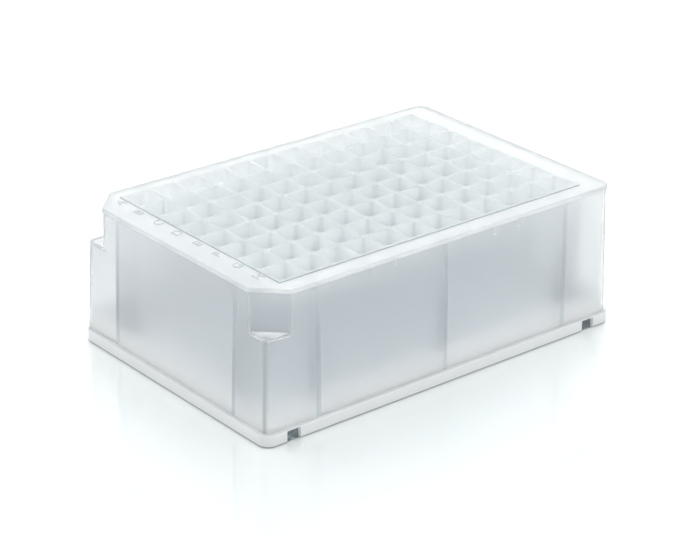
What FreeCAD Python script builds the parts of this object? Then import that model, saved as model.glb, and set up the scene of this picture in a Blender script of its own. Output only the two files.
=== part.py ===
import FreeCAD, Part
import math
import os

# Deep-well plate with 96 square wells, moulded in one piece from natural polypropylene.
# Frame: millimetres, +Z up, origin at the centre of the resting face.
# X runs along the long side, from column 1 (-X) to column 12 (+X).
# Y runs along the short side, from row H (-Y) to row A (+Y).

# Footprint, the standard one for laboratory plates
foot_length = 127.76
foot_width = 85.48
foot_corner_radius = 3.18
foot_height = 3.9
foot_edge_radius = 0.5

# Heights
plate_height = 43.8
field_rise = 0.4
rim_height = 1.4
deck_thickness = 1.6
shelf_height = 31.0

# Skirt, the drafted outer wall
skirt_inset = 0.65
skirt_draft = 1.5
skirt_thickness = 1.2
post_radius = 2.0
plain_corner_radius = 3.0
notched_corner_leg = 8.0
rim_overhang = 0.35
rim_edge_radius = 0.35

# Recess under the foot that drops over the rim of the plate below
stack_clearance = 0.2
stack_depth = 2.6

# Wells
column_count = 12
row_count = 8
pitch = 9.0
well_mouth = 8.2
well_corner_radius = 1.2
well_draft = 0.42
field_wall = 0.8
well_floor_height = 6.8
well_floor_width = 3.2
well_taper_height = 10.4
well_taper_width = 6.8
block_taper_height = 9.5
block_floor_height = 5.6
block_floor_width = 5.0
groove_overlap = 1.0

# Ribs between the well block and the skirt
rib_thickness = 1.2
corner_rib_thickness = 1.6
gusset_thickness = 1.0
gusset_depth = 2.6

# Notches through the foot on the long sides
notch_centre = 54.45
notch_width = 4.5
notch_height = 3.4

deck_height = plate_height - field_rise
rim_bottom = deck_height - rim_height
deck_underside = deck_height - deck_thickness
skirt_slope = math.tan(math.radians(skirt_draft))
well_slope = math.tan(math.radians(well_draft))
field_half_x = (column_count - 1) * pitch / 2 + well_mouth / 2 + field_wall
field_half_y = (row_count - 1) * pitch / 2 + well_mouth / 2 + field_wall


def vec(x, y, z):
    return FreeCAD.Vector(x, y, z)


def flat_faced_solid(low, high):
    """Solid between two loops of as many points, anticlockwise from above, every face flat."""
    faces = [flat_face(low[::-1]), flat_face(high)]
    for index, point in enumerate(low):
        after = (index + 1) % len(low)
        faces.append(flat_face([point, low[after], high[after], high[index]]))
    shell = Part.makeShell(faces)
    shell.sewShape()
    return Part.makeSolid(shell)


def flat_face(points):
    return Part.Face(Part.makePolygon(points + [points[0]]))


def rectangle(half_x, half_y, z):
    """Corner points, in the order +X+Y, -X+Y, -X-Y, +X-Y."""
    return [vec(half_x, half_y, z), vec(-half_x, half_y, z),
            vec(-half_x, -half_y, z), vec(half_x, -half_y, z)]


def upright_edges(solid, keep):
    """Edges that climb from the lowest face to the highest, at the corners that keep(x) accepts."""
    found = []
    for edge in solid.Edges:
        low, high = edge.Vertexes[0].Point, edge.Vertexes[-1].Point
        if abs(high.z - low.z) > solid.BoundBox.ZLength / 2 and keep(low.x):
            found.append(edge)
    return found


def drafted_prism(low, high, left_radius, right_radius):
    """Block between two rectangles, its upright edges rounded, with one radius at -X and one at +X."""
    solid = flat_faced_solid(low, high)
    solid = solid.makeFillet(left_radius, upright_edges(solid, lambda x: x < 0))
    return solid.makeFillet(right_radius, upright_edges(solid, lambda x: x > 0))


def skirt_half_sizes(z, inward):
    """Half length and half width of the skirt at height z, taken inward from its outer face."""
    inset = skirt_inset + (z - foot_height) * skirt_slope + inward
    return foot_length / 2 - inset, foot_width / 2 - inset


def corner_wedge(sign_y, z_low, z_high, inward):
    """What the 45 degree notch takes off one corner at column 1, above the shelf."""
    reach = 30.0
    sections = []
    for z in (z_low, z_high):
        half_x, half_y = skirt_half_sizes(z, 0)
        leg = notched_corner_leg + inward * math.sqrt(2)
        cut_y = sign_y * (half_y - leg)
        far_y = sign_y * (half_y + reach)
        near = vec(-half_x - reach, cut_y - sign_y * reach, z)
        far = vec(-half_x + leg + reach, far_y, z)
        outside = vec(-half_x - reach, far_y, z)
        sections.append([near, far, outside][::sign_y])
    return flat_faced_solid(*sections)


def skirt_volume(inward, z_low, z_high, shelf_z):
    """Solid inside the skirt's face: square posts at column 1 up to the shelf, notched above it."""
    sections = []
    for z in (z_low, z_high):
        half_x, half_y = skirt_half_sizes(z, inward)
        sections.append(rectangle(half_x, half_y, z))
    volume = drafted_prism(*sections, post_radius - inward, plain_corner_radius - inward)
    return volume.cut([corner_wedge(sign_y, shelf_z, z_high + 1.0, inward) for sign_y in (1, -1)])


def foot():
    slab = rounded_slab(foot_length / 2, foot_width / 2, foot_corner_radius, 0, foot_height)
    return round_outer_top_edge(slab, foot_height, foot_edge_radius)


def rounded_slab(half_x, half_y, radius, z_low, z_high):
    low, high = rectangle(half_x, half_y, z_low), rectangle(half_x, half_y, z_high)
    return drafted_prism(low, high, radius, radius)


def round_outer_top_edge(slab, z, radius):
    top_edges = [edge for edge in slab.Edges
                 if all(abs(vertex.Z - z) < 1e-6 for vertex in edge.Vertexes)]
    return slab.makeFillet(radius, top_edges)


def rim():
    """Lip around the top of the skirt, notched at both column 1 corners."""
    half_x, half_y = skirt_half_sizes(rim_bottom, -rim_overhang)
    plain = plain_corner_radius + rim_overhang
    leg = notched_corner_leg - rim_overhang * (math.sqrt(2) - 2)
    arc_start = vec(half_x, half_y - plain, rim_bottom)
    arc_end = vec(half_x - plain, half_y, rim_bottom)
    turn = plain * (1 - math.sqrt(0.5))
    arc_middle = vec(half_x - turn, half_y - turn, rim_bottom)
    notch_a = vec(-half_x + leg, half_y, rim_bottom)
    notch_b = vec(-half_x, half_y - leg, rim_bottom)
    flip = FreeCAD.Matrix()
    flip.scale(1, -1, 1)
    upper = [Part.Arc(arc_start, arc_middle, arc_end).toShape()]
    upper.append(Part.makeLine(arc_end, notch_a))
    upper.append(Part.makeLine(notch_a, notch_b))
    lower = [edge.transformGeometry(flip) for edge in upper]
    near_side = Part.makeLine(notch_b, vec(-half_x, -half_y + leg, rim_bottom))
    far_side = Part.makeLine(vec(half_x, -half_y + plain, rim_bottom), arc_start)
    outline = Part.Wire(Part.__sortEdges__(upper + lower + [near_side, far_side]))
    slab = Part.Face(outline).extrude(vec(0, 0, rim_height))
    return round_outer_top_edge(slab, deck_height, rim_edge_radius)


def raised_field():
    low = rectangle(field_half_x, field_half_y, rim_bottom)
    return flat_faced_solid(low, rectangle(field_half_x, field_half_y, plate_height))


def well_block():
    """Outside of the wells: one drafted block, its underside tapering to a foot under each well."""
    drop = plate_height - block_taper_height
    top = rectangle(field_half_x, field_half_y, plate_height)
    waist_x = field_half_x - drop * well_slope
    waist_y = field_half_y - drop * well_slope
    waist = rectangle(waist_x, waist_y, block_taper_height)
    floor_x = (column_count - 1) * pitch / 2 + block_floor_width / 2
    floor_y = (row_count - 1) * pitch / 2 + block_floor_width / 2
    floor = rectangle(floor_x, floor_y, block_floor_height)
    block = flat_faced_solid(waist, top).fuse(flat_faced_solid(floor, waist))
    grooves = [groove(index, column_count, True) for index in range(1, column_count)]
    grooves += [groove(index, row_count, False) for index in range(1, row_count)]
    return block.cut(grooves)


def groove(index, count, across_x):
    """V groove in the underside of the block, between one line of wells and the next."""
    centre = (index - count / 2) * pitch
    half_open = (pitch - block_floor_width) / 2
    rise = block_taper_height - block_floor_height
    low_half = half_open * (1 + groove_overlap / rise)
    low_z = block_floor_height - groove_overlap
    reach = foot_length
    if across_x:
        points = [vec(centre - low_half, -reach, low_z), vec(centre + low_half, -reach, low_z)]
        points.append(vec(centre, -reach, block_taper_height))
        sweep = vec(0, 2 * reach, 0)
    else:
        points = [vec(-reach, centre - low_half, low_z), vec(-reach, centre + low_half, low_z)]
        points.append(vec(-reach, centre, block_taper_height))
        sweep = vec(2 * reach, 0, 0)
    return Part.Face(Part.makePolygon(points + [points[0]])).extrude(sweep)


def well_cavity():
    """Inside of one well on the Z axis: drafted rounded square, a narrow ledge, then a blunt pyramid."""
    over = 1.0
    half_mouth = well_mouth / 2 + over * well_slope
    half_ledge = well_mouth / 2 - (plate_height - well_taper_height) * well_slope
    mouth = rectangle(half_mouth, half_mouth, plate_height + over)
    ledge = rectangle(half_ledge, half_ledge, well_taper_height)
    shaft = drafted_prism(ledge, mouth, well_corner_radius, well_corner_radius)
    taper = rectangle(well_taper_width / 2, well_taper_width / 2, well_taper_height)
    floor = rectangle(well_floor_width / 2, well_floor_width / 2, well_floor_height)
    return shaft.fuse(flat_faced_solid(floor, taper))


def wells():
    cavity = well_cavity()
    cavities = []
    for column in range(column_count):
        for row in range(row_count):
            x = (column - (column_count - 1) / 2) * pitch
            y = (row - (row_count - 1) / 2) * pitch
            copy = cavity.copy()
            copy.translate(vec(x, y, 0))
            cavities.append(copy)
    return cavities


def rib(x, y, thickness, along_y, z_low):
    """Upright web from inside the well block, out past the skirt, in the +/- direction of x or y."""
    height = deck_height - z_low
    if along_y:
        reach = foot_width / 2 - field_half_y + 1.0
        low_y = field_half_y - 1.0 if y > 0 else -field_half_y + 1.0 - reach
        return Part.makeBox(thickness, reach, height, vec(x - thickness / 2, low_y, z_low))
    reach = foot_length / 2 - field_half_x + 1.0
    low_x = field_half_x - 1.0 if x > 0 else -field_half_x + 1.0 - reach
    return Part.makeBox(reach, thickness, height, vec(low_x, y - thickness / 2, z_low))


def ribs():
    webs = []
    end_x = (column_count / 2 - 1) * pitch
    end_y = (row_count / 2 - 1) * pitch
    gusset_z = deck_underside - gusset_depth
    for side in (1, -1):
        webs.append(rib(0, side, rib_thickness, True, stack_depth))
        for turn in (1, -1):
            webs.append(rib(turn * end_x, side, corner_rib_thickness, True, stack_depth))
            webs.append(rib(side, turn * end_y, corner_rib_thickness, False, stack_depth))
            webs.append(rib(turn * 2 * pitch, side, gusset_thickness, True, gusset_z))
            webs.append(rib(turn * 3 * pitch, side, gusset_thickness, True, gusset_z))
    return webs


def underside():
    """Open space under the deck, between the skirt and the well block, less the ribs."""
    top_shelf = shelf_height - skirt_thickness
    space = skirt_volume(skirt_thickness, -1.0, deck_underside, top_shelf)
    space = space.cut([well_block()] + ribs())
    half_x, half_y = skirt_half_sizes(rim_bottom, -rim_overhang - stack_clearance)
    return space.fuse(rounded_slab(half_x, half_y, plain_corner_radius, -1.0, stack_depth))


def notches():
    boxes = []
    depth = 6.0
    for side_x in (1, -1):
        for side_y in (1, -1):
            low_x = side_x * notch_centre - notch_width / 2
            low_y = side_y * foot_width / 2 - depth / 2
            boxes.append(Part.makeBox(notch_width, depth, notch_height + 1.0, vec(low_x, low_y, -1.0)))
    return boxes


def well_plate():
    body = skirt_volume(0, foot_height - 1.0, rim_bottom + 0.5, shelf_height)
    body = body.fuse([foot(), rim(), raised_field()])
    body = body.cut([underside()] + notches())
    body = body.cut(wells())
    return body.removeSplitter()


os.makedirs("parts", exist_ok=True)
plate = well_plate()
print("solids", len(plate.Solids), "valid", plate.isValid(), "volume cm3", round(plate.Volume / 1000, 2))
print("box", plate.BoundBox)
plate.Solids[0].exportStep("parts/well_plate.step")
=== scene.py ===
"""Deep-well plate of natural polypropylene: the finished plate, its studio and its camera."""
import logging
import math
from dataclasses import dataclass, field
from enum import Enum
from typing import Any

import bmesh
import bpy
from mathutils import Matrix, Vector


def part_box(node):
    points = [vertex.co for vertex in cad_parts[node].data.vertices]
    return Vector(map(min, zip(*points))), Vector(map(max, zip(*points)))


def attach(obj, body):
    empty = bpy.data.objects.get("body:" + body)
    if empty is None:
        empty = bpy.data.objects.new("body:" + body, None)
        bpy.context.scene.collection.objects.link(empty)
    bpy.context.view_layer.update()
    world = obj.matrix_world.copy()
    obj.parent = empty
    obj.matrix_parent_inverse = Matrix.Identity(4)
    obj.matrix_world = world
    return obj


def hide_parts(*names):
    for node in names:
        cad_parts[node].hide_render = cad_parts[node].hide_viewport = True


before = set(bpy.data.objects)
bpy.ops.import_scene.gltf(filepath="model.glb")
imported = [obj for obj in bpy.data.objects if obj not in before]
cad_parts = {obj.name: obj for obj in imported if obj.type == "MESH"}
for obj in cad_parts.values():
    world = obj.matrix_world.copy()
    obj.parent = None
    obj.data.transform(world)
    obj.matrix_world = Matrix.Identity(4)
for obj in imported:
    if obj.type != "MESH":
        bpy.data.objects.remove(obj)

LOG = logging.getLogger("well_plate")
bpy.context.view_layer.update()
PLATE_NODE = "well_plate"
BODY = "root"
WELD = 2e-6  # points nearer than this are one point
MID_ARC = 0.3  # how far the middle of a quarter round stands off its two faces, in radii
FACING = 0.5  # a face looks up, or outward, where its normal points that way by more than this
LIGHT_BOUNCES = 96
CLEAR_BOUNCES = 32


class CornerStyle(Enum):
    """How the skirt turns its two corners at column 1."""

    POST = "post"
    NOTCHED = "notched"


class Side(Enum):
    """A side of the plate; the sign tells which way it lies along its axis."""

    LEFT = (-1, "x")
    RIGHT = (1, "x")
    FRONT = (-1, "y")
    BACK = (1, "y")

    @property
    def sign(self) -> int:
        """Direction of the side along its axis."""
        return self.value[0]

    @property
    def axis(self) -> int:
        """Number of the axis that the side lies on: 0 for X, 1 for Y."""
        return "xy".index(self.value[1])


class Solver(Enum):
    """What a boolean does with its operand."""

    JOIN = "UNION"
    CUT = "DIFFERENCE"


class Zone(Enum):
    """A region of the moulding that takes a finish of its own, from its thickness or grain or from painted
    shade or painted light in its colour.
    """

    SKIRT = 0  # outside of the drafted wall, with painted light: whiter towards the foot
    INNER = 1  # inside of the same wall, and the deck's underside
    WELLS = 2  # bores, floors and the webs between them, with painted light and shade: white near the mouths, darker below
    RIM = 3  # deck and the rim round it
    BLOCK = 4  # outward sides of the block of wells, with painted shade: darker below the level of the mouths
    STEP = 5  # upright edge of the raised field, coloured dark as a painted shade line along the step
    FOOT = 6  # base flange
    RIB = 7  # ribs behind the skirt, with painted shade: darker towards their lower ends
    LAND = 8  # tops of the webs between the mouths
    EDGE = 9  # lowest edges of the foot and of the rim, coloured dark as a painted contact shadow under the foot and a painted shade line under the rim
    LETTERS = 10  # raised row letters, coloured darker than the plastic as painted shade on their relief
    LEDGE = 11  # narrow ledge where the wall meets the foot, coloured dark as a painted shade line in place of its lit top
    BEND = 12  # rounded edge between the deck and the rim's side, coloured grey as a painted shade line along the edge
    GUSSET = 13  # short gussets under the deck
    CORNER = 14  # rounded edges of the posts, shelves and notches, coloured grey as painted shade lines along these edges


def wired(tree: bpy.types.NodeTree, kind: str, given: dict[str | int, Any]) -> bpy.types.Node:
    """Add a node and give its inputs what they need.

    Args:
        tree: The tree that takes the node.
        kind: The node's type.
        given: For each input, by name or number, its value or the socket that feeds it.

    Returns:
        The new node.
    """
    made = tree.nodes.new(kind)
    for label, source in given.items():
        if isinstance(source, bpy.types.NodeSocket):
            tree.links.new(source, made.inputs[label])
        else:
            made.inputs[label].default_value = source
    return made


def smooth_step(
    tree: bpy.types.NodeTree, source: bpy.types.NodeSocket, ends: tuple[float, float]
) -> bpy.types.Node:
    """Map a value to a share from 0 to 1 that starts and stops softly.

    Args:
        tree: The tree that takes the node.
        source: The socket that gives the value.
        ends: The values at which the share is 0 and 1.

    Returns:
        The node, whose output is called Result.
    """
    made = wired(tree, "ShaderNodeMapRange", {"Value": source, "From Min": ends[0], "From Max": ends[1]})
    made.interpolation_type = "SMOOTHSTEP"
    return made


def blend_into(
    tree: bpy.types.NodeTree, share: bpy.types.NodeSocket, ends: tuple, target: bpy.types.NodeSocket
) -> None:
    """Feed a socket with a blend of two colours or of two numbers.

    Args:
        tree: The tree that takes the node.
        share: The socket that gives the second one's share.
        ends: The two colours or numbers.
        target: The socket that takes the blend.
    """
    blend = tree.nodes.new("ShaderNodeMix")
    blend.data_type = "RGBA" if isinstance(ends[0], tuple) else "FLOAT"
    tree.links.new(share, blend.inputs["Factor"])
    blend.inputs["A"].default_value, blend.inputs["B"].default_value = ends
    tree.links.new(blend.outputs["Result"], target)


@dataclass(frozen=True)
class FrostedPlastic:
    """Natural polypropylene: milky, with a fine moulded grain.

    The colour and the clear share may change with height, from low_colour and low_clear at the
    fade's lower end to colour and clear at its upper end. Several finishes use these colours for painted
    shade or painted light.
    """

    colour: tuple[float, float, float]
    clear: float
    ior: float = 1.49
    smoothest: float = 0.35
    roughest: float = 0.45
    grain: float = 900.0
    grain_depth: float = 2e-6
    low_colour: tuple[float, float, float] | None = None
    low_clear: float | None = None
    fade: tuple[float, float] = (0.0, 0.01)
    grain_detail: float = 3.0
    grain_strength: float = 0.3

    def material(self, name: str) -> bpy.types.Material:
        """Build the material.

        Args:
            name: The material's name.

        Returns:
            A new material with a rough transmitting shader and a fine grain.
        """
        made = bpy.data.materials.new(name)
        made.use_nodes = True
        tree = made.node_tree
        tree.nodes.clear()
        shader = wired(tree, "ShaderNodeBsdfPrincipled", {
            "Base Color": (*self.colour, 1.0), "Transmission Weight": self.clear, "IOR": self.ior,
        })
        place = tree.nodes.new("ShaderNodeTexCoord").outputs["Object"]
        if self.low_colour is not None:
            ends = (*self.low_colour, 1.0), (*self.colour, 1.0)
            self.wire_fade(tree, place, shader.inputs["Base Color"], ends)
        if self.low_clear is not None:
            self.wire_fade(tree, place, shader.inputs["Transmission Weight"], (self.low_clear, self.clear))
        noise = wired(tree, "ShaderNodeTexNoise", {
            "Vector": place, "Scale": self.grain, "Detail": self.grain_detail,
        }).outputs["Fac"]
        spread = wired(tree, "ShaderNodeMapRange", {
            "Value": noise, "To Min": self.smoothest, "To Max": self.roughest,
        })
        bump = wired(tree, "ShaderNodeBump", {
            "Height": noise, "Strength": self.grain_strength, "Distance": self.grain_depth,
        })
        tree.links.new(spread.outputs["Result"], shader.inputs["Roughness"])
        tree.links.new(bump.outputs["Normal"], shader.inputs["Normal"])
        wired(tree, "ShaderNodeOutputMaterial", {"Surface": shader.outputs["BSDF"]})
        return made

    def wire_fade(
        self, tree: bpy.types.NodeTree, place: bpy.types.NodeSocket, target: bpy.types.NodeSocket,
        ends: tuple,
    ) -> None:
        """Change one property of the plastic with height.

        Args:
            tree: The material's tree.
            place: Where on the object the shaded point lies.
            target: The socket that takes the property.
            ends: Its value below the fade and above it.
        """
        parts = wired(tree, "ShaderNodeSeparateXYZ", {"Vector": place})
        rise = smooth_step(tree, parts.outputs["Z"], self.fade)
        blend_into(tree, rise.outputs["Result"], ends, target)


FINISHES: dict[Zone, FrostedPlastic] = {
    # Painted light: the skirt's colour turns whiter towards the foot, where light from the table shines
    # through.
    Zone.SKIRT: FrostedPlastic(
        (0.96, 0.965, 0.98), 0.81, smoothest=0.24, roughest=0.27, grain_depth=2e-7,
        low_colour=(1.0, 1.0, 1.0), fade=(0.005, 0.013),
    ),
    Zone.INNER: FrostedPlastic(
        (0.975, 0.98, 0.985), 0.95, grain_depth=4e-7, low_clear=0.1, fade=(0.005, 0.014)
    ),
    # Painted light and shade: the wells turn white near their mouths and darker below.
    Zone.WELLS: FrostedPlastic(
        (0.98, 1.0, 1.0), 0.46, ior=1.15, low_colour=(0.905, 0.917, 0.927), low_clear=1.0,
        fade=(0.032, 0.043),
    ),
    Zone.RIM: FrostedPlastic((0.96, 0.975, 0.98), 0.75, smoothest=0.3, roughest=0.4, grain_depth=2e-5),
    # Painted shade: the block's sides darker below the mouths' level, where they show through the skirt.
    Zone.BLOCK: FrostedPlastic(
        (1.0, 1.0, 1.0), 1.0, ior=1.15, low_colour=(0.905, 0.917, 0.927), fade=(0.032, 0.043)
    ),
    # Painted shade line along the field's step.
    Zone.STEP: FrostedPlastic((0.45, 0.52, 0.55), 0.5, grain_depth=2e-5),
    Zone.FOOT: FrostedPlastic((0.92, 0.935, 0.94), 0.2, smoothest=0.3, roughest=0.4, grain_depth=2e-5),
    # Painted shade: the ribs darker towards their lower ends.
    Zone.RIB: FrostedPlastic(
        (0.95, 0.96, 0.97), 0.98, ior=1.05, low_colour=(0.62, 0.65, 0.67), fade=(0.018, 0.037)
    ),
    Zone.LAND: FrostedPlastic((0.93, 0.95, 0.955), 0.76, ior=1.2),
    # Painted contact shadow along the foot's lowest edge and painted shade line under the rim.
    Zone.EDGE: FrostedPlastic((0.40, 0.44, 0.45), 0.1, grain_depth=2e-5),
    # Painted shade on the letters' relief.
    Zone.LETTERS: FrostedPlastic((0.64, 0.69, 0.71), 0.4, grain_depth=2e-5),
    # Painted shade line on the ledge.
    Zone.LEDGE: FrostedPlastic((0.62, 0.65, 0.66), 0.2, grain_depth=2e-5),
    # Painted shade line along the deck's rounded edge.
    Zone.BEND: FrostedPlastic((0.78, 0.81, 0.82), 0.5, grain_depth=2e-5),
    Zone.GUSSET: FrostedPlastic((1.0, 1.0, 1.0), 1.0, ior=1.02, grain_depth=2e-7),
    # Painted shade lines along the rounded edges of posts, shelves and notches.
    Zone.CORNER: FrostedPlastic((0.55, 0.58, 0.59), 0.4, grain_depth=2e-7),
}


def new_object(name: str, mesh: bpy.types.Mesh) -> bpy.types.Object:
    """Link a new object that holds mesh, at the origin.

    Args:
        name: The object's name.
        mesh: Its mesh, with its place in its vertices.

    Returns:
        The new object.
    """
    made = bpy.data.objects.new(name, mesh)
    bpy.context.scene.collection.objects.link(made)
    return made


def evaluated_mesh(source: bpy.types.Object) -> bpy.types.Mesh:
    """Plain mesh of an object as its modifiers leave it.

    Args:
        source: The object to evaluate.

    Returns:
        A new mesh, which no modifier drives.
    """
    bpy.context.view_layer.update()
    graph = bpy.context.evaluated_depsgraph_get()
    return bpy.data.meshes.new_from_object(source.evaluated_get(graph))


def discard(*spent: bpy.types.Object) -> None:
    """Remove working objects that aren't part of the plate.

    Args:
        spent: The objects to remove.
    """
    for item in spent:
        bpy.data.objects.remove(item)


@dataclass
class GridTree:
    """Geometry Nodes tree that repeats one piece on a grid and welds what touches."""

    name: str = "Grid of pieces"
    tree: bpy.types.GeometryNodeTree = field(init=False)

    def __post_init__(self) -> None:
        """Build the tree once, for every use of it."""
        self.tree = bpy.data.node_groups.new(self.name, "GeometryNodeTree")
        inputs = {"Geometry": "Geometry", "Columns": "Int", "Rows": "Int", "Column Span": "Float",
                  "Row Span": "Float", "Weld": "Float", "Piece": "Object", "Finish": "Material"}
        for label, kind in inputs.items():
            self.tree.interface.new_socket(label, in_out="INPUT", socket_type=f"NodeSocket{kind}")
        self.tree.interface.new_socket("Geometry", in_out="OUTPUT", socket_type="NodeSocketGeometry")
        self.wire()

    def wire(self) -> None:
        """Join the nodes: grid, instances, realized, welded, finished."""
        tree = self.tree
        given = tree.nodes.new("NodeGroupInput").outputs
        grid = wired(tree, "GeometryNodeMeshGrid", {
            "Size X": given["Column Span"], "Size Y": given["Row Span"],
            "Vertices X": given["Columns"], "Vertices Y": given["Rows"],
        })
        piece = wired(tree, "GeometryNodeObjectInfo", {"Object": given["Piece"]})
        copies = wired(tree, "GeometryNodeInstanceOnPoints", {
            "Points": grid.outputs["Mesh"], "Instance": piece.outputs["Geometry"],
        })
        real = wired(tree, "GeometryNodeRealizeInstances", {"Geometry": copies.outputs["Instances"]})
        weld = wired(tree, "GeometryNodeMergeByDistance", {
            "Geometry": real.outputs["Geometry"], "Distance": given["Weld"],
        })
        finish = wired(tree, "GeometryNodeSetMaterial", {
            "Geometry": weld.outputs["Geometry"], "Material": given["Finish"],
        })
        wired(tree, "NodeGroupOutput", {"Geometry": finish.outputs["Geometry"]})

    def repeat(
        self, piece: bpy.types.Mesh, counts: tuple[int, int], spans: tuple[float, float],
        finish: bpy.types.Material,
    ) -> bpy.types.Mesh:
        """Repeat a piece on a grid centred on the plate's axis.

        Args:
            piece: The mesh to repeat, built around the Z axis.
            counts: How many columns along X and rows along Y.
            spans: Distance from the first to the last, along X and along Y.
            finish: The material that every copy takes.

        Returns:
            One plain mesh that holds every copy.
        """
        pattern = new_object("pattern", piece)
        carrier = new_object("carrier", bpy.data.meshes.new("carrier"))
        modifier = carrier.modifiers.new("Grid", "NODES")
        modifier.node_group = self.tree
        values = {"Columns": counts[0], "Rows": counts[1], "Column Span": spans[0], "Row Span": spans[1],
                  "Weld": WELD, "Piece": pattern, "Finish": finish}
        for item in self.tree.interface.items_tree:
            if item.in_out == "INPUT" and item.name in values:
                modifier[item.identifier] = values[item.name]
        made = evaluated_mesh(carrier)
        discard(carrier, pattern)
        return made


class Shell:
    """A bmesh that grows from loops of points, joined side by side."""

    def __init__(self) -> None:
        """Start with nothing."""
        self.mesh = bmesh.new()

    def loop(self, points: list[Vector]) -> list[bmesh.types.BMVert]:
        """Add a closed loop's vertices.

        Args:
            points: The loop's points, anticlockwise from above.

        Returns:
            The new vertices, in the same order.
        """
        return [self.mesh.verts.new(point) for point in points]

    def strip(self, first: list[bmesh.types.BMVert], second: list[bmesh.types.BMVert]) -> None:
        """Join two loops of as many vertices with a ring of quads.

        Args:
            first: One loop.
            second: The other loop.
        """
        for index, corner in enumerate(first):
            after = (index + 1) % len(first)
            self.mesh.faces.new((corner, first[after], second[after], second[index]))

    def skin(self, loops: list[list[Vector]]) -> list[list[bmesh.types.BMVert]]:
        """Add loops of as many points each and join them in order.

        Args:
            loops: The loops, from one end of the surface to the other.

        Returns:
            The vertices of every loop.
        """
        rows = [self.loop(points) for points in loops]
        for first, second in zip(rows, rows[1:]):
            self.strip(first, second)
        return rows

    def flat_ring(self, outer: list[bmesh.types.BMVert], inner: list[bmesh.types.BMVert]) -> None:
        """Fill the level space between two loops of any number of vertices.

        Args:
            outer: The loop outside.
            inner: The loop inside.
        """
        edges = []
        for ring in (outer, inner):
            for index, corner in enumerate(ring):
                pair = (corner, ring[(index + 1) % len(ring)])
                edges.append(self.mesh.edges.get(pair) or self.mesh.edges.new(pair))
        bmesh.ops.triangle_fill(self.mesh, use_beauty=True, edges=edges)

    def finished(self, name: str) -> bpy.types.Mesh:
        """Weld, clean and turn the shell outward.

        Args:
            name: The new mesh's name.

        Returns:
            The mesh.
        """
        bmesh.ops.remove_doubles(self.mesh, verts=self.mesh.verts, dist=WELD)
        bmesh.ops.dissolve_degenerate(self.mesh, dist=WELD, edges=self.mesh.edges)
        bmesh.ops.recalc_face_normals(self.mesh, faces=self.mesh.faces)
        made = bpy.data.meshes.new(name)
        self.mesh.to_mesh(made)
        self.mesh.free()
        return made


def rounded_square(half: float, radius: float, z: float, steps: int) -> list[Vector]:
    """Loop of a square with rounded corners, anticlockwise from the +X side.

    Args:
        half: Half its width.
        radius: Corner radius.
        z: Height of the loop.
        steps: Straight steps in each corner.

    Returns:
        The loop's points.
    """
    points = []
    for turn in range(4):
        start = turn * math.pi / 2
        centre = Matrix.Rotation(start, 3, "Z") @ Vector((half - radius, half - radius, z))
        for step in range(steps + 1):
            angle = start + step * math.pi / 2 / steps
            points.append(centre + radius * Vector((math.cos(angle), math.sin(angle), 0.0)))
    return points


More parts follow.
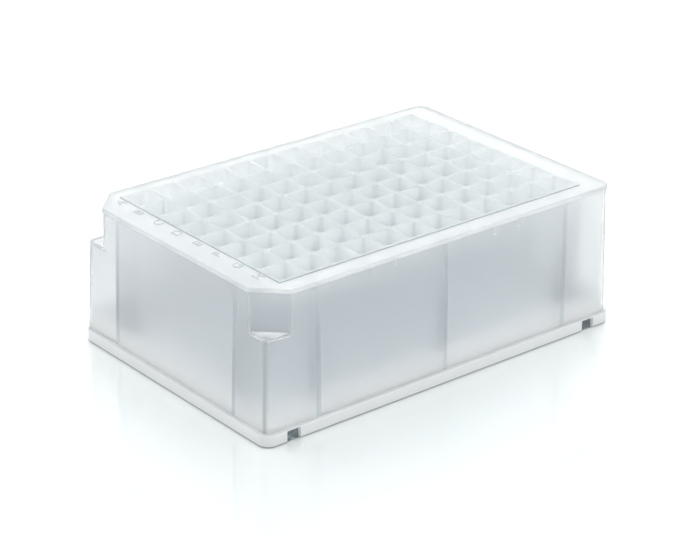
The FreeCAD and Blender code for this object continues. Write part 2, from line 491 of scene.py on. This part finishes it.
@dataclass
class WellCell:
    """One well and its share of the block: the mouth above, the tapered foot below."""

    top: float
    pitch: float = 0.009
    mouth: float = 0.0082
    corner: float = 0.0012
    lip: float = 0.00016
    lip_steps: int = 2
    draft: float = math.radians(0.42)
    taper_height: float = 0.0104
    floor_height: float = 0.0068
    floor_width: float = 0.0032
    groove_height: float = 0.0095
    foot_height: float = 0.0056
    foot_width: float = 0.005
    steps: int = 4
    foot_steps: int = 2
    # Half width and corner radius as shares of the shaft's, and rise over the taper's height.
    shoulder: tuple[tuple[float, float, float], ...] = (
        (1.0, 1.0, 0.0012), (0.965, 1.0, 0.0002), (0.88, 0.95, -0.0006),
    )
    # The same for the floor: shares of its half width and of the shaft's corner, and rise over it.
    floor: tuple[tuple[float, float, float], ...] = ((1.12, 0.7, 0.0004), (0.8, 0.6, 0.0))
    # Shares of the foot's half width, of the same for its corner, and rise over the foot's end.
    foot: tuple[tuple[float, float, float], ...] = (
        (1.12, 0.35, 0.0007), (1.03, 0.3, 0.0002), (0.88, 0.25, 0.0),
    )

    def inside(self) -> list[list[Vector]]:
        """Loops down the well, from its rounded lip to its floor.

        Returns:
            The loops, from the top down.
        """
        half = self.mouth / 2
        shrink = math.tan(self.draft)
        low = half - (self.top - self.taper_height) * shrink
        lips = []
        for step in range(self.lip_steps + 1):
            angle = step * math.pi / 2 / self.lip_steps
            out = self.lip * (1 - math.sin(angle))
            drop = self.lip * (1 - math.cos(angle))
            lips.append(rounded_square(half + out, self.corner + out, self.top - drop, self.steps))
        levels = ((low, self.taper_height, self.shoulder),
                  (self.floor_width / 2, self.floor_height, self.floor))
        rows = [rounded_square(width * wide, self.corner * bend, height + rise, self.steps)
                for width, height, shares in levels for wide, bend, rise in shares]
        return lips + rows

    def underside(self) -> list[list[Vector]]:
        """Loops of the tapered foot under the well, from the groove to its blunt end.

        Returns:
            The loops, from the top down.
        """
        half = self.foot_width / 2
        return [rounded_square(half * wide, half * bend, self.foot_height + rise, self.foot_steps)
                for wide, bend, rise in self.foot]

    def tile(self, shell: Shell, z: float, ring: list[bmesh.types.BMVert], steps: int) -> None:
        """Join a loop to the square that bounds the cell, with a fan at each corner.

        Args:
            shell: The shell that takes the faces.
            z: Height of the square.
            ring: The rounded loop inside the square.
            steps: Straight steps in each of the loop's corners.
        """
        half = self.pitch / 2
        signs = ((1, 1), (-1, 1), (-1, -1), (1, -1))
        corners = shell.loop([Vector((x * half, y * half, z)) for x, y in signs])
        per_corner = steps + 1
        for turn, corner in enumerate(corners):
            first = turn * per_corner
            for step in range(steps):
                shell.mesh.faces.new((corner, ring[first + step + 1], ring[first + step]))
            last, following = ring[first + steps], ring[(first + per_corner) % len(ring)]
            shell.mesh.faces.new((corner, corners[(turn + 1) % 4], following, last))

    def mesh(self) -> bpy.types.Mesh:
        """Build the cell.

        Returns:
            Two open sheets, above and below, which meet those of the next cell.
        """
        shell = Shell()
        rows = shell.skin(self.inside())
        shell.mesh.faces.new(rows[-1])
        self.tile(shell, self.top, rows[0], self.steps)
        feet = shell.skin(self.underside())
        shell.mesh.faces.new(feet[-1][::-1])
        self.tile(shell, self.groove_height, feet[0], self.foot_steps)
        made = bpy.data.meshes.new("well_cell")
        shell.mesh.to_mesh(made)
        shell.mesh.free()
        return made


@dataclass
class Skirt:
    """The drafted outer wall, its foot, its rim and the two notched corners."""

    half_x: float
    half_y: float
    foot_height: float = 0.0039
    foot_radius: float = 0.00318
    foot_edge: float = 0.0005
    foot_chamfer: float = 0.0002
    foot_line: float = 0.0004
    inset: float = 0.00065
    draft: float = math.radians(1.5)
    wall: float = 0.0012
    post_radius: float = 0.002
    plain_radius: float = 0.003
    least_radius: float = 0.0004
    notch_leg: float = 0.008
    notch_edge: float = 0.0005
    shelf: float = 0.031
    shelf_edge: float = 0.00035
    rim_bottom: float = 0.042
    rim_overhang: float = 0.00035
    rim_chamfer: float = 0.0001
    deck: float = 0.0434
    deck_thickness: float = 0.0016
    recess_depth: float = 0.0026
    recess_gap: float = 0.0002
    steps: int = 7
    edge_steps: int = 3

    def half_sizes(self, z: float, inward: float) -> tuple[float, float]:
        """Half length and half width at a height, taken inward from the outer face.

        Args:
            z: The height.
            inward: Distance inside the outer face.

        Returns:
            Half the length along X and half the width along Y.
        """
        inset = self.inset + (z - self.foot_height) * math.tan(self.draft) + inward
        return self.half_x - inset, self.half_y - inset

    def leg(self, inward: float) -> float:
        """How far the notch reaches along each side, at a distance inside the outer face."""
        return self.notch_leg - inward * (2 - math.sqrt(2))

    def arc(
        self, centre: tuple[float, float], radius: float, start: float, sweep: float, steps: int
    ) -> list[tuple[float, float]]:
        """Points along an arc.

        Args:
            centre: The arc's centre.
            radius: Its radius.
            start: The angle it starts at, in degrees.
            sweep: The angle it turns through, in degrees.
            steps: How many straight steps it takes.

        Returns:
            The points, both ends included.
        """
        points = []
        for step in range(steps + 1):
            angle = math.radians(start + sweep * step / steps)
            points.append((centre[0] + radius * math.cos(angle), centre[1] + radius * math.sin(angle)))
        return points

    def column_one_corner(
        self, half: tuple[float, float], leg: float, radius: float, edge: float, style: CornerStyle
    ) -> list[tuple[float, float]]:
        """Points round the corner at -X +Y, of as many points in either style.

        Args:
            half: Half sizes of the outline.
            leg: How far the notch reaches along each side.
            radius: The post's radius.
            edge: Radius of the notch's two upright edges.
            style: Square post or notch.

        Returns:
            The points, from the +Y side to the -X side.
        """
        ease = edge * math.tan(math.pi / 8)
        first = (-half[0] + leg + ease, half[1])
        last = (-half[0], half[1] - leg - ease)
        if style is CornerStyle.POST:
            middle = (-half[0] + radius, half[1] - radius)
            return [first] + self.arc(middle, radius, 90, 90, self.steps) + [last]
        bend = (self.steps + 3) // 2 - 1
        upper = self.arc((first[0], first[1] - edge), edge, 90, 45, bend)
        return upper + self.arc((last[0] + edge, last[1]), edge, 135, 45, bend)

    def outline(
        self, half: tuple[float, float], z: float, plain: float, radius: float, leg: float,
        style: CornerStyle,
    ) -> list[Vector]:
        """Closed outline of the skirt at one height.

        Args:
            half: Half sizes of the outline.
            z: Its height.
            plain: Radius of the two plain corners, at +X.
            radius: Radius of the posts, at -X.
            leg: How far the notch reaches along each side.
            style: Square posts or notches at -X.

        Returns:
            The outline's points, anticlockwise from above.
        """
        corner = self.column_one_corner(half, leg, radius, self.notch_edge, style)
        mirrored = [(x, -y) for x, y in reversed(corner)]
        right = self.arc((half[0] - plain, half[1] - plain), plain, 0, 90, self.steps)
        lower = self.arc((half[0] - plain, plain - half[1]), plain, 270, 90, self.steps)
        return [Vector((x, y, z)) for x, y in right + corner + mirrored + lower]

    def wall_loop(
        self, z: float, inward: float, style: CornerStyle, slope_z: float | None = None
    ) -> list[Vector]:
        """Outline of the skirt's face, or of a face parallel to it.

        Args:
            z: The height.
            inward: Distance inside the outer face, negative outside it.
            style: Square posts or notches at column 1.
            slope_z: The height whose draft counts, where it isn't z.

        Returns:
            The outline's points.
        """
        half = self.half_sizes(z if slope_z is None else slope_z, inward)
        post = max(self.post_radius - inward, self.least_radius)
        return self.outline(half, z, self.plain_radius - inward, post, self.leg(inward), style)

    def encloses(self, point: Vector) -> bool:
        """Whether a point lies inside the middle of the skirt's wall and under the deck.

        Args:
            point: The point.

        Returns:
            True for a point behind the skirt.
        """
        half = self.half_sizes(point.z, self.wall / 2)
        gap = half[0] - abs(point.x), half[1] - abs(point.y)
        notched = point.x < 0.0 and point.z > self.shelf - self.wall + WELD
        cut_off = notched and gap[0] + gap[1] < self.leg(self.wall / 2)
        return min(gap) > 0.0 and point.z < self.deck - self.deck_thickness + WELD and not cut_off

    def foot_loop(self, z: float, inward: float) -> list[Vector]:
        """Outline of the foot.

        Args:
            z: The height.
            inward: Distance inside the footprint.

        Returns:
            The outline's points.
        """
        half = (self.half_x - inward, self.half_y - inward)
        radius = self.foot_radius - inward
        return self.outline(half, z, radius, radius, self.notch_leg, CornerStyle.POST)

    def shelf_loop(self, z: float, inward: float) -> list[Vector]:
        """Outline near the shelf's edge, drawn in at the two posts only.

        Args:
            z: The height.
            inward: How far it is drawn in.

        Returns:
            The outline's points.
        """
        plain = self.wall_loop(z, 0.0, CornerStyle.POST, self.shelf)
        eased = self.wall_loop(z, inward, CornerStyle.POST, self.shelf)
        half = self.half_sizes(self.shelf, 0.0)
        ends = (self.notch_leg - half[0] - WELD, half[1] - self.notch_leg + WELD)
        return [drawn if whole.x < ends[0] and abs(whole.y) > ends[1] else whole
                for whole, drawn in zip(plain, eased)]

    def outer_loops(self) -> list[list[Vector]]:
        """Loops up the outside, from the recess's edge at the bottom to the deck.

        Returns:
            The loops, from the bottom up.
        """
        out, chamfer = self.rim_overhang, self.foot_chamfer
        loops = [self.wall_loop(0.0, -out - self.recess_gap, CornerStyle.POST, self.rim_bottom)]
        loops += [self.foot_loop(0.0, chamfer), self.foot_loop(chamfer, 0.0)]
        loops.append(self.foot_loop(self.foot_line, 0.0))
        for step in range(self.edge_steps + 1):
            angle = step * math.pi / (2 * self.edge_steps)
            rise = self.foot_height - self.foot_edge * (1 - math.sin(angle))
            loops.append(self.foot_loop(rise, self.foot_edge * (1 - math.cos(angle))))
        loops.append(self.wall_loop(self.foot_height, 0.0, CornerStyle.POST))
        ease = self.shelf_edge
        loops.append(self.wall_loop(self.shelf - ease, 0.0, CornerStyle.POST))
        loops.append(self.shelf_loop(self.shelf - ease * MID_ARC, ease * MID_ARC))
        loops.append(self.shelf_loop(self.shelf, ease))
        loops.append(self.wall_loop(self.shelf, 0.0, CornerStyle.NOTCHED))
        loops.append(self.wall_loop(self.rim_bottom, 0.0, CornerStyle.NOTCHED))
        for rise, inward in ((0.0, self.rim_chamfer - out), (self.rim_chamfer, -out)):
            z = self.rim_bottom + rise
            loops.append(self.wall_loop(z, inward, CornerStyle.NOTCHED, self.rim_bottom))
        for step in range(self.edge_steps + 1):
            angle = step * math.pi / (2 * self.edge_steps)
            rise = self.deck - out * (1 - math.sin(angle))
            loops.append(self.wall_loop(rise, -out * math.cos(angle), CornerStyle.NOTCHED, self.rim_bottom))
        return loops

    def inner_loops(self) -> list[list[Vector]]:
        """Loops up the inside, from the recess's edge at the bottom to the deck's underside.

        Returns:
            The loops, from the bottom up.
        """
        gap = -self.rim_overhang - self.recess_gap
        low_step = self.shelf - self.wall
        loops = [self.wall_loop(0.0, gap, CornerStyle.POST, self.rim_bottom)]
        loops.append(self.wall_loop(self.recess_depth, gap, CornerStyle.POST, self.rim_bottom))
        loops.append(self.wall_loop(self.recess_depth, self.wall, CornerStyle.POST))
        loops.append(self.wall_loop(low_step, self.wall, CornerStyle.POST))
        loops.append(self.wall_loop(low_step, self.wall, CornerStyle.NOTCHED))
        loops.append(self.wall_loop(self.deck - self.deck_thickness, self.wall, CornerStyle.NOTCHED))
        return loops


@dataclass
class Plate:
    """The whole moulding: wells, block, deck, skirt, ribs and foot in one closed skin."""

    finishes: dict[Zone, bpy.types.Material]
    grid: GridTree
    half_x: float
    half_y: float
    height: float
    columns: int = 12
    rows: int = 8
    field_border: float = 0.0004
    field_edge: float = 0.00012
    rib: float = 0.0012
    corner_rib: float = 0.0016
    gusset: float = 0.001
    gusset_drop: float = 0.0026
    gusset_spans: tuple[int, ...] = (4, 6)  # from one gusset to its twin, in wells
    notch_centre: float = 0.05445
    notch_width: float = 0.0045
    notch_height: float = 0.0034
    cutter_depth: float = 0.006
    cutter_low: float = -0.001
    smooth_angle: float = math.radians(32)
    # Limits that tell the regions apart.
    under_slope: float = 0.0015  # the slopes under the outer wells are block's sides this far in
    ledge_drop: float = 0.0002  # how far below the foot's top its ledge begins
    ledge_tilt: float = 0.3  # how much a ledge's normal points up
    wall_gap: float = 0.00012  # a web's faces stand farther than this from the skirt
    corner_gap: float = 0.01  # and than this from the corner
    shelf_tilt: float = 0.2  # how much the normal of a shelf's rounded edge points up
    bend_turn: tuple[float, float] = (0.2, 0.68)  # how much an upright edge's normal points along Y
    skirt: Skirt = field(init=False)
    cell: WellCell = field(init=False)

    def __post_init__(self) -> None:
        """Size the skirt and the well from the plate."""
        self.skirt = Skirt(self.half_x, self.half_y)
        self.cell = WellCell(self.height)

    def field_half(self) -> tuple[float, float]:
        """Half the length and half the width of the field of wells."""
        return self.columns * self.cell.pitch / 2, self.rows * self.cell.pitch / 2

    def field_loop(self, z: float, outward: float) -> list[Vector]:
        """Rectangle round the field of wells, with a point at each cell's corner.

        Args:
            z: Height of the loop.
            outward: Distance outside the outermost cells.

        Returns:
            The loop's points, anticlockwise from above.
        """
        half = [distance + outward for distance in self.field_half()]
        points = []
        sides = (((-1, -1), (1, -1), self.columns), ((1, -1), (1, 1), self.rows),
                 ((1, 1), (-1, 1), self.columns), ((-1, 1), (-1, -1), self.rows))
        for start, end, count in sides:
            low = Vector((start[0] * half[0], start[1] * half[1], z))
            high = Vector((end[0] * half[0], end[1] * half[1], z))
            points += [low.lerp(high, step / count) for step in range(count)]
        return points

    def wells(self) -> bpy.types.Mesh:
        """Repeat the well on the plate's grid.

        Returns:
            Every well, as two sheets that the grid has welded.
        """
        spans = ((self.columns - 1) * self.cell.pitch, (self.rows - 1) * self.cell.pitch)
        counts = (self.columns, self.rows)
        return self.grid.repeat(self.cell.mesh(), counts, spans, self.finishes[Zone.WELLS])

    def skin(self) -> bpy.types.Mesh:
        """Make the moulding before its ribs and notches.

        Returns:
            Its closed skin.
        """
        shell = Shell()
        outer = shell.skin(self.skirt.outer_loops())
        inner = shell.skin(self.skirt.inner_loops())
        border, edge, deck = self.field_border, self.field_edge, self.skirt.deck
        crest = [self.field_loop(self.height, 0.0), self.field_loop(self.height, border - edge)]
        crest.append(self.field_loop(self.height - edge * MID_ARC, border - edge * MID_ARC))
        crest += [self.field_loop(self.height - edge, border), self.field_loop(deck, border)]
        crown = shell.skin(crest)
        under = deck - self.skirt.deck_thickness
        sides = shell.skin([self.field_loop(under, border), self.field_loop(self.cell.groove_height, 0.0)])
        shell.flat_ring(outer[-1], crown[-1])
        shell.flat_ring(inner[-1], sides[0])
        shell.mesh.from_mesh(self.wells())
        return shell.finished("skin")

    def prism(self, levels: list[tuple[float, float, float, float, float]]) -> bpy.types.Mesh:
        """Closed solid through a level rectangle at each height.

        Args:
            levels: For each level its height, its low and high X, and its low and high Y.

        Returns:
            A closed mesh.
        """
        shell = Shell()
        loops = []
        for z, left, right, front, back in levels:
            corners = ((right, back), (left, back), (left, front), (right, front))
            loops.append([Vector((x, y, z)) for x, y in corners])
        rows = shell.skin(loops)
        shell.mesh.faces.new(rows[0][::-1])
        shell.mesh.faces.new(rows[-1])
        return shell.finished("prism")

    def web(self, side: Side, thick: float, low: float) -> bpy.types.Mesh:
        """Rib or gusset from the block to the middle of the skirt's wall, at the middle of one side.

        Args:
            side: The side of the plate that it stands on.
            thick: Its thickness.
            low: Its lowest height.

        Returns:
            A closed mesh that follows the skirt's draft.
        """
        top = self.skirt.deck - self.skirt.deck_thickness / 2
        levels = []
        for z in (low, top):
            outer = self.skirt.half_sizes(z, self.skirt.wall / 2)[side.axis]
            reach = (self.field_half()[side.axis] - self.cell.lip, outer)
            near, far = sorted(side.sign * distance for distance in reach)
            across = (-thick / 2, thick / 2)
            levels.append((z, near, far, *across) if side.axis == 0 else (z, *across, near, far))
        return self.prism(levels)

    def webs(self) -> bpy.types.Mesh:
        """Make the ribs and gussets between the block and the skirt, each kind repeated along its side.

        Returns:
            All of them in one mesh.
        """
        pitch, low_end, hung = self.cell.pitch, self.skirt.recess_depth, self.gusset_low()
        columns_out = (self.columns - 2) * pitch
        rows_out = (self.rows - 2) * pitch
        kinds = [(self.rib, low_end, 1, 0.0), (self.corner_rib, low_end, 2, columns_out)]
        kinds += [(self.gusset, hung, 2, wells * pitch) for wells in self.gusset_spans]
        gathered = bmesh.new()
        for side in (Side.FRONT, Side.BACK):
            for thick, low, count, span in kinds:
                web = self.web(side, thick, low)
                row = self.grid.repeat(web, (count, 1), (span, 0.0), self.finishes[Zone.INNER])
                gathered.from_mesh(row)
        for side in (Side.LEFT, Side.RIGHT):
            web = self.web(side, self.corner_rib, low_end)
            gathered.from_mesh(self.grid.repeat(web, (1, 2), (0.0, rows_out), self.finishes[Zone.INNER]))
        made = bpy.data.meshes.new("webs")
        gathered.to_mesh(made)
        gathered.free()
        return made

    def notch_cutters(self) -> bpy.types.Mesh:
        """Make the blocks that open the four notches through the foot.

        Returns:
            The four blocks in one mesh.
        """
        half = (self.notch_width / 2, self.cutter_depth / 2)
        heights = (self.cutter_low, self.notch_height)
        cutter = self.prism([(z, -half[0], half[0], -half[1], half[1]) for z in heights])
        apart = (2 * self.notch_centre, 2 * self.half_y)
        return self.grid.repeat(cutter, (2, 2), apart, self.finishes[Zone.RIM])

    def combine(self, body: bpy.types.Object, operand: bpy.types.Mesh, action: Solver) -> None:
        """Join an operand to the body, or cut it out, and keep the result as a plain mesh.

        Args:
            body: The object that changes.
            operand: Closed mesh of the webs or cutters.
            action: Join or cut.
        """
        tool = new_object("tool", operand)
        modifier = body.modifiers.new("Combine", "BOOLEAN")
        modifier.operation = action.value
        modifier.solver = "EXACT"
        modifier.object = tool
        result = evaluated_mesh(body)
        body.modifiers.remove(modifier)
        body.data = result
        discard(tool)

    def zone(self, point: Vector, normal: Vector) -> Zone:
        """Which region of the moulding a face belongs to.

        Args:
            point: The face's centre.
            normal: The face's outward normal.

        Returns:
            The region.
        """
        skirt = self.skirt
        past = [abs(point[axis]) - half for axis, half in enumerate(self.field_half())]
        beyond = max(past)
        axis = past.index(beyond)
        outward = normal[axis] * math.copysign(1.0, point[axis])
        if point.z > skirt.deck + WELD:
            if outward > FACING and beyond > self.field_border - WELD:
                return Zone.STEP
            return Zone.LAND if normal.z > FACING else Zone.WELLS
        if beyond < (WELD if point.z > skirt.deck - WELD else self.field_border + WELD):
            drawn_in = self.under_slope if point.z < self.cell.groove_height else WELD
            outside = outward > FACING and beyond > -drawn_in and point.z < skirt.deck - WELD
            return Zone.BLOCK if outside else Zone.WELLS
        if skirt.encloses(point):
            if not self.on_web(point):
                return Zone.INNER
            return Zone.GUSSET if point.z > self.gusset_low() - WELD else Zone.RIB
        if point.z < skirt.foot_height + WELD:
            if point.z > skirt.foot_height - self.ledge_drop and normal.z > self.ledge_tilt:
                return Zone.LEDGE
            return Zone.EDGE if WELD < point.z < skirt.foot_line else Zone.FOOT
        if point.z < skirt.rim_bottom - WELD:
            return Zone.CORNER if self.on_corner(point, normal) else Zone.SKIRT
        if skirt.deck - skirt.rim_overhang < point.z < skirt.deck - WELD:
            return Zone.BEND
        return Zone.EDGE if point.z < skirt.rim_bottom + skirt.rim_chamfer - WELD else Zone.RIM

    def on_corner(self, point: Vector, normal: Vector) -> bool:
        """Whether a face of the skirt rounds a shelf, or turns from an end wall round a post or notch.

        Args:
            point: The face's centre.
            normal: The face's outward normal.

        Returns:
            True for a rounded edge, but not for the notch's own face at 45 degrees.
        """
        shelf = self.skirt.shelf
        if shelf - self.skirt.shelf_edge < point.z < shelf - WELD:
            return point.x < 0.0 and normal.z > self.shelf_tilt
        return point.x < 0.0 and self.bend_turn[0] < abs(normal.y) < self.bend_turn[1]

    def gusset_low(self) -> float:
        """Height of the gussets' lower ends."""
        return self.skirt.deck - self.skirt.deck_thickness - self.gusset_drop

    def on_web(self, point: Vector) -> bool:
        """Whether a point behind the skirt is on a rib or gusset, not on the wall, a corner or the deck.

        Args:
            point: The point.

        Returns:
            True for a point on a rib or gusset.
        """
        half = self.skirt.half_sizes(point.z, self.skirt.wall)
        gap = half[0] - abs(point.x), half[1] - abs(point.y)
        under = self.skirt.deck - self.skirt.deck_thickness
        return min(gap) > self.wall_gap and max(gap) > self.corner_gap and point.z < under - WELD

    def build(self) -> bpy.types.Object:
        """Build the plate.

        Returns:
            The finished plate, riding on the frame's body in place of the plain solid.
        """
        plate = new_object("moulded_plate", self.skin())
        self.combine(plate, self.webs(), Solver.JOIN)
        self.combine(plate, self.notch_cutters(), Solver.CUT)
        plate.data.name = "moulded_plate"
        plate.data.materials.clear()
        for region in Zone:
            plate.data.materials.append(self.finishes[region])
        for face in plate.data.polygons:
            face.material_index = self.zone(face.center, face.normal).value
        plate.data.shade_smooth()
        plate.data.set_sharp_from_angle(angle=self.smooth_angle)
        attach(plate, BODY)
        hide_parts(PLATE_NODE)
        return plate


@dataclass
class RowLetters:
    """The raised row letters A to H on the rim beside column 1."""

    finish: bpy.types.Material
    deck: float
    pitch: float = 0.009
    place: float = -0.0562
    ahead: float = 0.0016
    size: float = 0.0042
    relief: float = 0.00015
    curve_steps: int = 6
    letters: str = "ABCDEFGH"

    def letter(self, text: str, y: float) -> bpy.types.Mesh:
        """Mesh of one letter, lying on the rim.

        Args:
            text: The letter.
            y: Where its centre lies along Y.

        Returns:
            A closed mesh in place.
        """
        curve = bpy.data.curves.new("letter", "FONT")
        curve.body = text
        curve.size = self.size
        curve.align_x = "CENTER"
        curve.align_y = "CENTER"
        curve.extrude = self.relief
        curve.resolution_u = self.curve_steps
        source = bpy.data.objects.new("letter", curve)
        bpy.context.scene.collection.objects.link(source)
        made = evaluated_mesh(source)
        discard(source)
        made.transform(Matrix.Translation((self.place, y, self.deck)))
        return made

    def build(self) -> bpy.types.Object:
        """Build the letters.

        Returns:
            One object that holds them all, riding with the plate.
        """
        gathered = bmesh.new()
        for index, text in enumerate(self.letters):
            row = ((len(self.letters) - 1) / 2 - index) * self.pitch
            gathered.from_mesh(self.letter(text, row + self.ahead))
        bmesh.ops.remove_doubles(gathered, verts=gathered.verts, dist=WELD)
        bmesh.ops.recalc_face_normals(gathered, faces=gathered.faces)
        mesh = bpy.data.meshes.new("row_letters")
        gathered.to_mesh(mesh)
        gathered.free()
        mesh.materials.append(self.finish)
        made = new_object("row_letters", mesh)
        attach(made, BODY)
        return made


@dataclass
class Studio:
    """White table with a painted shade inside each notch of the foot, white surroundings and one soft box.
    """

    table_size: float = 3.0
    table_colour: tuple[float, float, float] = (0.76, 0.80, 0.795)
    table_roughness: float = 0.04
    table_ior: float = 3.0
    # Painted shade on the table just inside each notch: its colour, middle, half size and soft edge.
    shade_colour: tuple[float, float, float] = (0.05, 0.075, 0.07)
    shade_centre: tuple[float, float, float] = (0.0545, 0.0393, 0.0)  # mirrored to all four notches
    shade_half: tuple[float, float, float] = (0.0070, 0.0029, 1.0)
    shade_blur: float = 0.0006
    towards_light: tuple[float, float, float] = (0.65, 0.5, 0.5)
    dim_side: float = 0.5
    bright_side: float = 1.14
    turning: tuple[float, float] = (-0.9, 0.6)  # how much the dim and the bright end face the light
    box_place: tuple[float, float, float] = (0.1, 0.2, 1.2)
    box_size: float = 1.2
    box_power: float = 10.0

    def wire_shade(self, tree: bpy.types.NodeTree, target: bpy.types.NodeSocket) -> None:
        """Colour the table, with a painted shade just inside each notch of the foot, standing in for the
        shade under the plate.

        Args:
            tree: The table's material tree.
            target: The socket that takes the colour.
        """
        place = tree.nodes.new("ShaderNodeTexCoord").outputs["Object"]
        for distance in (self.shade_centre, self.shade_half):
            size = wired(tree, "ShaderNodeVectorMath", {0: place})
            size.operation = "ABSOLUTE"
            past = wired(tree, "ShaderNodeVectorMath", {0: size.outputs["Vector"], 1: distance})
            past.operation = "SUBTRACT"
            place = past.outputs["Vector"]
        parts = wired(tree, "ShaderNodeSeparateXYZ", {"Vector": place}).outputs
        widest = wired(tree, "ShaderNodeMath", {0: parts["X"], 1: parts["Y"]})
        widest.operation = "MAXIMUM"
        edge = smooth_step(tree, widest.outputs["Value"], (-self.shade_blur, self.shade_blur))
        colours = (*self.shade_colour, 1.0), (*self.table_colour, 1.0)
        blend_into(tree, edge.outputs["Result"], colours, target)

    def table(self) -> bpy.types.Object:
        """Build the table that the plate stands on.

        Returns:
            The table.
        """
        half = self.table_size / 2
        mesh = bpy.data.meshes.new("table")
        corners = [(-half, -half, 0.0), (half, -half, 0.0), (half, half, 0.0), (-half, half, 0.0)]
        mesh.from_pydata(corners, [], [(0, 1, 2, 3)])
        top = bpy.data.materials.new("white_table")
        top.use_nodes = True
        shader = top.node_tree.nodes["Principled BSDF"]
        # table colour with the painted shade inside the notches
        self.wire_shade(top.node_tree, shader.inputs["Base Color"])
        shader.inputs["Roughness"].default_value = self.table_roughness
        shader.inputs["IOR"].default_value = self.table_ior
        mesh.materials.append(top)
        made = new_object("table", mesh)
        return made

    def surroundings(self) -> None:
        """Light the scene from all round with white that falls off towards the front."""
        world = bpy.data.worlds.new("studio")
        world.use_nodes = True
        tree = world.node_tree
        tree.nodes.clear()
        way = tree.nodes.new("ShaderNodeTexCoord").outputs["Generated"]
        light = Vector(self.towards_light).normalized()
        facing = wired(tree, "ShaderNodeVectorMath", {0: way, 1: light})
        facing.operation = "DOT_PRODUCT"
        fall = smooth_step(tree, facing.outputs["Value"], self.turning)
        fall.inputs["To Min"].default_value = self.dim_side
        fall.inputs["To Max"].default_value = self.bright_side
        lit, plain = (
            wired(tree, "ShaderNodeBackground", {"Color": (1.0, 1.0, 1.0, 1.0), "Strength": strength})
            for strength in (fall.outputs["Result"], 1.0)
        )
        seen = tree.nodes.new("ShaderNodeLightPath").outputs["Is Camera Ray"]
        mix = wired(tree, "ShaderNodeMixShader", {
            0: seen, 1: lit.outputs["Background"], 2: plain.outputs["Background"],
        })
        wired(tree, "ShaderNodeOutputWorld", {"Surface": mix.outputs["Shader"]})
        bpy.context.scene.world = world

    def soft_box(self) -> None:
        """Hang one square lamp over the plate, facing it."""
        lamp = bpy.data.lights.new("overhead_box", "AREA")
        lamp.shape = "SQUARE"
        lamp.size = self.box_size
        lamp.energy = self.box_power
        hung = bpy.data.objects.new("overhead_box", lamp)
        bpy.context.scene.collection.objects.link(hung)
        hung.location = self.box_place
        hung.rotation_euler = (-Vector(self.box_place)).to_track_quat("-Z", "Y").to_euler()

    def build(self) -> None:
        """Set up the table, the surroundings and the soft box."""
        self.table()
        self.surroundings()
        self.soft_box()


@dataclass
class StudioCamera:
    """Camera at the height and angle of a product view over the corner of well H1."""

    place: tuple[float, float, float] = (-0.3963, -0.4735, 0.2991)
    yaw: float = math.radians(39.91)
    pitch: float = math.radians(24.4)
    roll: float = math.radians(0.81)
    lens: float = 121.27
    sensor: float = 36.0
    farthest: float = 20.0

    def build(self) -> bpy.types.Object:
        """Place the camera and make it the scene's own.

        Returns:
            The camera object.
        """
        level = math.cos(self.pitch)
        ahead = Vector((level * math.sin(self.yaw), level * math.cos(self.yaw), -math.sin(self.pitch)))
        right = ahead.cross(Vector((0.0, 0.0, 1.0))).normalized()
        over = right.cross(ahead)
        turned_right = math.cos(self.roll) * right + math.sin(self.roll) * over
        turned_over = turned_right.cross(ahead)
        axes = Matrix((turned_right, turned_over, -ahead)).transposed().to_4x4()
        data = bpy.data.cameras.new("studio_camera")
        data.lens = self.lens
        data.sensor_width = self.sensor
        data.clip_end = self.farthest
        made = bpy.data.objects.new("studio_camera", data)
        bpy.context.scene.collection.objects.link(made)
        made.matrix_world = Matrix.Translation(self.place) @ axes
        bpy.context.scene.camera = made
        return made


def light_paths() -> None:
    """Let light cross the many thin walls before it is dropped."""
    cycles = bpy.context.scene.cycles
    cycles.max_bounces = LIGHT_BOUNCES
    cycles.blur_glossy = 0.0
    cycles.diffuse_bounces = LIGHT_BOUNCES
    cycles.glossy_bounces = LIGHT_BOUNCES
    cycles.transmission_bounces = LIGHT_BOUNCES
    cycles.transparent_max_bounces = CLEAR_BOUNCES


def main() -> None:
    """Build the plate, its letters, its studio and its camera, in that order."""
    logging.basicConfig(level=logging.INFO, format="%(message)s")
    _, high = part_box(PLATE_NODE)
    finishes = {zone: plastic.material(f"{zone.name.lower()}_polypropylene")
                for zone, plastic in FINISHES.items()}
    plate = Plate(finishes, GridTree(), high.x, high.y, high.z).build()
    LOG.info("%s: %d faces", plate.name, len(plate.data.polygons))
    letters = RowLetters(finishes[Zone.LETTERS], Skirt.deck).build()
    LOG.info("%s: %d faces", letters.name, len(letters.data.polygons))
    Studio().build()
    LOG.info("studio: table, surroundings and one soft box")
    camera = StudioCamera().build()
    LOG.info("%s: %.0f mm lens", camera.name, camera.data.lens)
    light_paths()
    bpy.context.scene.view_settings.view_transform = "Standard"


if __name__ == "__main__":
    main()
